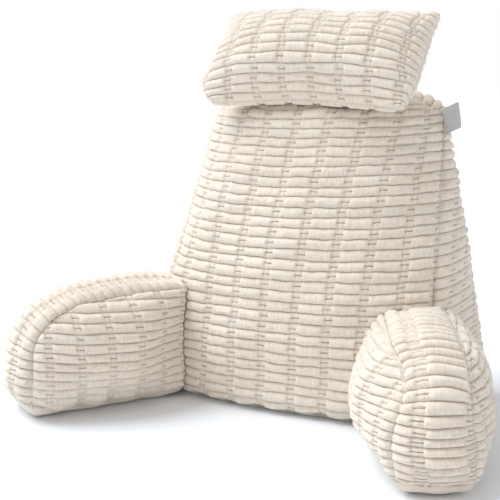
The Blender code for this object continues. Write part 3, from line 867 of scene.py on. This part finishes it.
def head_grid(across, high, face):
    """Places on the headrest; face is 1 on the front panel and -1 on the back one."""
    right, up, ahead = head_axes()
    draw = HEAD_SIDE_WAIST * (1.0 - high ** 2) + HEAD_LOWER_DRAW * smooth(-high) ** 3
    x = 0.5 * HEAD_LENGTH * across * (1.0 - draw)
    bulge = HEAD_END_BULGE * np.exp(-((high + 0.62) / 0.38) ** 2)
    x = x - (bulge - HEAD_END_TUCK * smooth((-high - 0.8) / 0.2)) * smooth(-across) ** 2
    x = x + HEAD_EAR * smooth((across - 0.8) / 0.2) * smooth((high - 0.6) / 0.4)
    z = 0.5 * HEAD_WIDTH * high * (1.0 - HEAD_EDGE_WAIST * (1.0 - across ** 2))
    z = z + HEAD_EAR * smooth((across - 0.85) / 0.15) * smooth((high - 0.7) / 0.3)
    z = z + HEAD_LIFT * (1.0 - np.abs(across) ** 2.5) * smooth((-high - 0.1) / 0.9)
    crown = HEAD_FRONT if face > 0 else HEAD_BACK
    puff = (1.0 - np.abs(across) ** 3.0) ** 0.7 * (1.0 - high ** 2) ** 0.65
    tuck = HEAD_TUCK * smooth((-high - 0.5) / 0.5) * (1.0 - across ** 4)
    return (HEAD_CENTRE + x[..., None] * right + z[..., None] * up
            + (face * crown * puff - tuck)[..., None] * ahead)


def press_off(points, surface):
    """Points moved ahead until they stand off the surface they press on."""
    across, up, ahead = (Vector(axis) for axis in head_axes())
    around = [Vector()] + [CLEAR_AROUND * sign * axis for axis in (across, up) for sign in (-1.0, 1.0)]
    reach = HEAD_PRESS_REACH + SEAM_GAP
    pressed = points.reshape(-1, 3).copy()
    for index, place in enumerate(pressed):
        start = Vector(place + PART_SHIFT) + HEAD_PRESS_REACH * ahead
        hits = [surface.ray_cast(start + offset, -ahead, reach)[3] for offset in around]
        nearest = min((hit for hit in hits if hit is not None), default=reach)
        pressed[index] += (reach - nearest) * np.array(ahead)
    return pressed.reshape(points.shape)


def even_rows(across, face, rows):
    """Heights on the headrest, evenly along the cloth of each column."""
    fine = np.sin(np.linspace(-0.5, 0.5, 401) * math.pi)
    high, sideways_on = np.meshgrid(fine, across, indexing="ij")
    run = lengths_along(head_grid(sideways_on, high, face), 0)
    shares = rows / rows[-1]
    columns = [np.interp(shares, column / column[-1], fine) for column in run.T]
    return np.stack(columns, axis=1)


def build_headrest(surface, material):
    rows = rib_rows(HEAD_RIBS)
    dense = to_seams(DENSE)
    ahead = head_axes()[2]
    cover = Cover()
    lines = None
    for face in (1.0, -1.0):
        even = even_rows(dense, face, rows)
        stray = waves(np.stack([dense * 0.165 + 0.0 * even, even * 0.2], axis=-1), 0.07, 41)
        high = even + HEAD_WOBBLE * stray * (1.0 - even ** 2) ** 0.5
        grid = head_grid(dense, high, face)
        s = from_middle_column(grid) * HEAD_GATHER
        if lines is None:
            lines = pattern_lines(s[:, 0].min(), s[:, -1].max(), REPEAT, BAR_SHARES, HEAD_SPLIT)
        points, s = along_bars(grid, s, rows * RIB, HEAD_SPLIT, 31, lines=lines, loose=HEAD_LOOSE)
        t = rows[:, None] * RIB
        panel = Panel(points, ahead * face, s, t, HEAD_SPLIT, 31, HEAD_NOTCH, HEAD_LOOSE)
        cover.add_panel(panel, press_off(panel.dressed(), surface))
    return cover.build("headrest_pillow", material)


# ---- label

def build_label(material):
    """A loop of satin tape, folded at its outer edge and sewn into the seam."""
    low, high = (front_point(1.0, ribs) for ribs in LABEL_RIBS)
    up = unit(high - low)
    out = np.array((math.cos(LABEL_TURN), math.sin(LABEL_TURN), 0.0))
    out = unit(out - up * (out @ up))
    thick = np.cross(up, out)
    corner = low + out * LABEL_STAND_OFF
    around = np.linspace(-1.0, 1.0, LABEL_POINTS)
    reach = LABEL_WIDTH * (1.0 - np.abs(around))
    fold = clipped((LABEL_WIDTH - reach) / LABEL_FOLD)
    apart = np.sign(around) * 0.5 * (LABEL_GAP + LABEL_TAPE) * quarter_round(fold)
    curl = LABEL_CURL * (reach / LABEL_WIDTH) ** 2
    middle = np.stack([reach, apart + curl], axis=-1)
    across = unit(np.gradient(middle, axis=0))[:, ::-1] * np.array((1.0, -1.0))
    sides = [middle + across * (0.5 * LABEL_TAPE), middle - across * (0.5 * LABEL_TAPE)]
    ring = np.concatenate([sides[0], sides[1][::-1]])
    mesh = bmesh.new()
    rings = []
    for height in np.linspace(0.0, LABEL_HEIGHT, LABEL_ROWS):
        bow = LABEL_BOW * math.sin(math.pi * height / LABEL_HEIGHT)
        bent = ring[:, 1:] + bow * ring[:, :1] / LABEL_WIDTH
        places = corner + PART_SHIFT + ring[:, :1] * out + bent * thick + height * up
        rings.append([mesh.verts.new(place) for place in places])
    count = len(rings[0])
    for lower, upper in zip(rings, rings[1:]):
        for i in range(count):
            j = (i + 1) % count
            mesh.faces.new((lower[i], lower[j], upper[j], upper[i]))
    for ring in (rings[0], rings[-1]):
        for i in range(count // 2 - 1):
            mesh.faces.new((ring[i], ring[i + 1], ring[-2 - i], ring[-1 - i]))
    bmesh.ops.recalc_face_normals(mesh, faces=mesh.faces)
    data = bpy.data.meshes.new("side_label")
    mesh.to_mesh(data)
    mesh.free()
    data.materials.append(material)
    return new_object("side_label", data)


# ---- materials

def new_material(name):
    material = bpy.data.materials.new(name)
    material.use_nodes = True
    return material, material.node_tree, material.node_tree.nodes["Principled BSDF"]


def feed(tree, socket, value):
    """Gives a socket its value, or links it to an output."""
    if isinstance(value, bpy.types.NodeSocket):
        tree.links.new(value, socket)
    else:
        socket.default_value = value


def add_node(tree, kind, settings=(), **inputs):
    """A node with its settings; an input is named with _ for a space."""
    node = tree.nodes.new(kind)
    for name, value in dict(settings).items():
        setattr(node, name, value)
    for name, value in inputs.items():
        feed(tree, node.inputs[name.replace("_", " ")], value)
    return node


def ramp(tree, value, low, high, to_low=0.0, to_high=1.0):
    """A value taken smoothly from one range to another."""
    settings = {"interpolation_type": "SMOOTHSTEP"}
    node = add_node(tree, "ShaderNodeMapRange", settings, Value=value, From_Min=low, From_Max=high,
                    To_Min=to_low, To_Max=to_high)
    return node.outputs["Result"]


def maths(tree, operation, first, second):
    node = tree.nodes.new("ShaderNodeMath")
    node.operation = operation
    for socket, value in zip(node.inputs, (first, second)):
        feed(tree, socket, value)
    return node.outputs["Value"]


def times(tree, first, second):
    return maths(tree, "MULTIPLY", first, second)


def mix_colours(tree, share, first, second, blend="MIX"):
    node = tree.nodes.new("ShaderNodeMix")
    node.data_type = "RGBA"
    node.blend_type = blend
    for name, value in (("Factor", share), ("A", first), ("B", second)):
        feed(tree, next(item for item in node.inputs if item.name == name and item.enabled), value)
    return next(item for item in node.outputs if item.enabled)


def noise(tree, vector, scale, detail=2.0):
    node = add_node(tree, "ShaderNodeTexNoise", Vector=vector, Scale=scale, Detail=detail)
    return node.outputs["Fac"]


def plush_material():
    material, tree, shader = new_material("plush")
    shader.inputs["Roughness"].default_value = 0.95
    shader.inputs["Sheen Weight"].default_value = 0.65
    shader.inputs["Sheen Roughness"].default_value = 0.45
    shader.inputs["Sheen Tint"].default_value = (0.97, 1.0, 1.0, 1.0)
    shader.inputs["Specular IOR Level"].default_value = 0.10

    cloth = add_node(tree, "ShaderNodeUVMap", {"uv_map": "cloth"}).outputs["UV"]
    parts = add_node(tree, "ShaderNodeSeparateXYZ", Vector=cloth)
    place = add_node(tree, "ShaderNodeTexCoord").outputs["Object"]
    patches = noise(tree, place, 45.0)
    drift = noise(tree, place, 14.0)
    pile = noise(tree, place, 420.0, 4.0)
    stretch = add_node(tree, "ShaderNodeMapping", Vector=cloth, Scale=(15.0, 0.9, 1.0))
    strands = noise(tree, stretch.outputs["Vector"], 1.0, 3.0)

    from_split = maths(tree, "PINGPONG", parts.outputs["X"], 0.5)
    from_valley = maths(tree, "PINGPONG", parts.outputs["Y"], 0.5)
    split = ramp(tree, from_split, SPLIT_HALF + 0.012, SPLIT_HALF - 0.012)
    # Painted shade: the valleys between ribs, the slits and the split stretches are darkened towards the
    # brown shade colour, as if shaded; the patches noise makes it uneven
    slit = times(tree, split, ramp(tree, from_valley, 0.43, 0.475))
    slit = times(tree, slit, ramp(tree, patches, 0.3, 0.65, 0.35, 1.0))
    valley = ramp(tree, from_valley, 0.16, 0.0, 0.0, VALLEY_SHADE)
    valley = times(tree, valley, ramp(tree, split, 0.0, 1.0, 1.0, 0.6))
    valley = times(tree, valley, ramp(tree, patches, 0.7, 0.3, 0.45, 1.0))
    painted_shade = maths(tree, "MAXIMUM", times(tree, slit, SLIT_SHADE), valley)
    painted_shade = maths(tree, "MAXIMUM", painted_shade, times(tree, split, SPLIT_SHADE))
    bar = add_node(tree, "ShaderNodeVectorMath", {"operation": "FLOOR"}, Vector=cloth)
    bar_tone = add_node(tree, "ShaderNodeTexWhiteNoise", Vector=bar.outputs["Vector"]).outputs["Value"]

    crest = mix_colours(tree, drift, CREAM_LOW, CREAM_HIGH)
    tone = ramp(tree, pile, 0.25, 0.7, 0.90, 1.0)
    streaks = ramp(tree, strands, 0.3, 0.7, 0.89, 1.0)
    streaks = times(tree, streaks, ramp(tree, bar_tone, 0.0, 1.0, 0.955, 1.0))
    crest = mix_colours(tree, 1.0, crest, times(tree, tone, streaks), "MULTIPLY")
    # The painted shade mixed into the cloth's own colour
    colour = mix_colours(tree, painted_shade, crest, CREASE_SHADE_COLOUR)
    tree.links.new(colour, shader.inputs["Base Color"])

    bump = add_node(tree, "ShaderNodeBump", Strength=0.7, Distance=0.0012,
                    Height=maths(tree, "ADD", strands, pile))
    tree.links.new(bump.outputs["Normal"], shader.inputs["Normal"])
    return material


def label_material():
    material, tree, shader = new_material("satin_tape")
    shader.inputs["Roughness"].default_value = 0.45
    shader.inputs["Sheen Weight"].default_value = 0.2
    place = add_node(tree, "ShaderNodeTexCoord").outputs["Object"]
    threads = noise(tree, place, 1500.0)
    weft = add_node(tree, "ShaderNodeTexWave", {"bands_direction": "Z"}, Vector=place, Scale=900.0,
                    Distortion=0.6).outputs["Fac"]
    soiling = mix_colours(tree, noise(tree, place, 70.0), TAPE_LOW, TAPE_HIGH)
    colour = mix_colours(tree, 1.0, soiling, ramp(tree, weft, 0.0, 1.0, 0.94, 1.0), "MULTIPLY")
    tree.links.new(colour, shader.inputs["Base Color"])
    height = maths(tree, "ADD", threads, weft)
    bump = add_node(tree, "ShaderNodeBump", Strength=0.3, Distance=0.0002, Height=height)
    tree.links.new(bump.outputs["Normal"], shader.inputs["Normal"])
    return material


# ---- stage, light and camera

def add_floor():
    data = bpy.data.meshes.new("floor")
    corners = [(x * FLOOR_REACH, y * FLOOR_REACH, 0) for x, y in ((-1, -1), (1, -1), (1, 1), (-1, 1))]
    data.from_pydata(corners, [], [(0, 1, 2, 3)])
    material, _, shader = new_material("floor")
    shader.inputs["Base Color"].default_value = FLOOR_COLOUR
    shader.inputs["Roughness"].default_value = 0.9
    data.materials.append(material)
    floor = new_object("floor", data)


def add_key():
    """A wide soft lamp from the left and above, the same all over the floor."""
    data = bpy.data.lights.new("key", "SUN")
    data.angle = KEY_SPREAD
    data.energy = KEY_STRENGTH
    data.color = KEY_COLOUR
    light = new_object("key", data)
    light.location = KEY_PLACE
    light.rotation_euler = (-Vector(KEY_PLACE)).to_track_quat("-Z", "Y").to_euler()


def add_studio():
    """White paper behind the pillow, and a dimmer white all round that lights it."""
    scene = bpy.context.scene
    scene.view_settings.view_transform = "Standard"
    world = bpy.data.worlds.new("studio")
    world.use_nodes = True
    nodes, links = world.node_tree.nodes, world.node_tree.links
    paper = nodes["Background"]
    fill = nodes.new("ShaderNodeBackground")
    fill.inputs["Strength"].default_value = WORLD_FILL
    seen = nodes.new("ShaderNodeLightPath")
    both = nodes.new("ShaderNodeMixShader")
    for part in (paper, fill):
        part.inputs["Color"].default_value = (1.0, 1.0, 1.0, 1.0)
    links.new(seen.outputs["Is Camera Ray"], both.inputs["Fac"])
    links.new(fill.outputs["Background"], both.inputs[1])
    links.new(paper.outputs["Background"], both.inputs[2])
    links.new(both.outputs["Shader"], nodes["World Output"].inputs["Surface"])
    scene.world = world
    add_key()


def add_camera():
    data = bpy.data.cameras.new("camera")
    data.lens = CAMERA_LENS
    camera = new_object("camera", data)
    camera.location = CAMERA_PLACE
    camera.rotation_euler = (CAMERA_AIM - CAMERA_PLACE).to_track_quat("-Z", "Y").to_euler()
    bpy.context.scene.camera = camera


# ---- the pillow

def surface_of(item):
    corners = [vert.co for vert in item.data.vertices]
    return BVHTree.FromPolygons(corners, [list(face.vertices) for face in item.data.polygons])


def main():
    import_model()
    add_camera()
    plush, tape = plush_material(), label_material()
    backrest = build_backrest(plush)
    surface = surface_of(backrest)
    left = build_arm("arm_left_cushion", -1, surface, plush)
    right = build_arm("arm_right_cushion", 1, surface, plush)
    headrest = build_headrest(surface, plush)
    label = build_label(tape)
    pieces = {"backrest": (backrest, 0.85), "arm_left": (left, 0.8), "arm_right": (right, 0.8),
              "headrest": (headrest, 0.75)}
    for node, (piece, fill) in pieces.items():
        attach(piece, "root")
        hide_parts(node)
    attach(label, "root")
    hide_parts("label")
    add_floor()
    add_studio()


main()
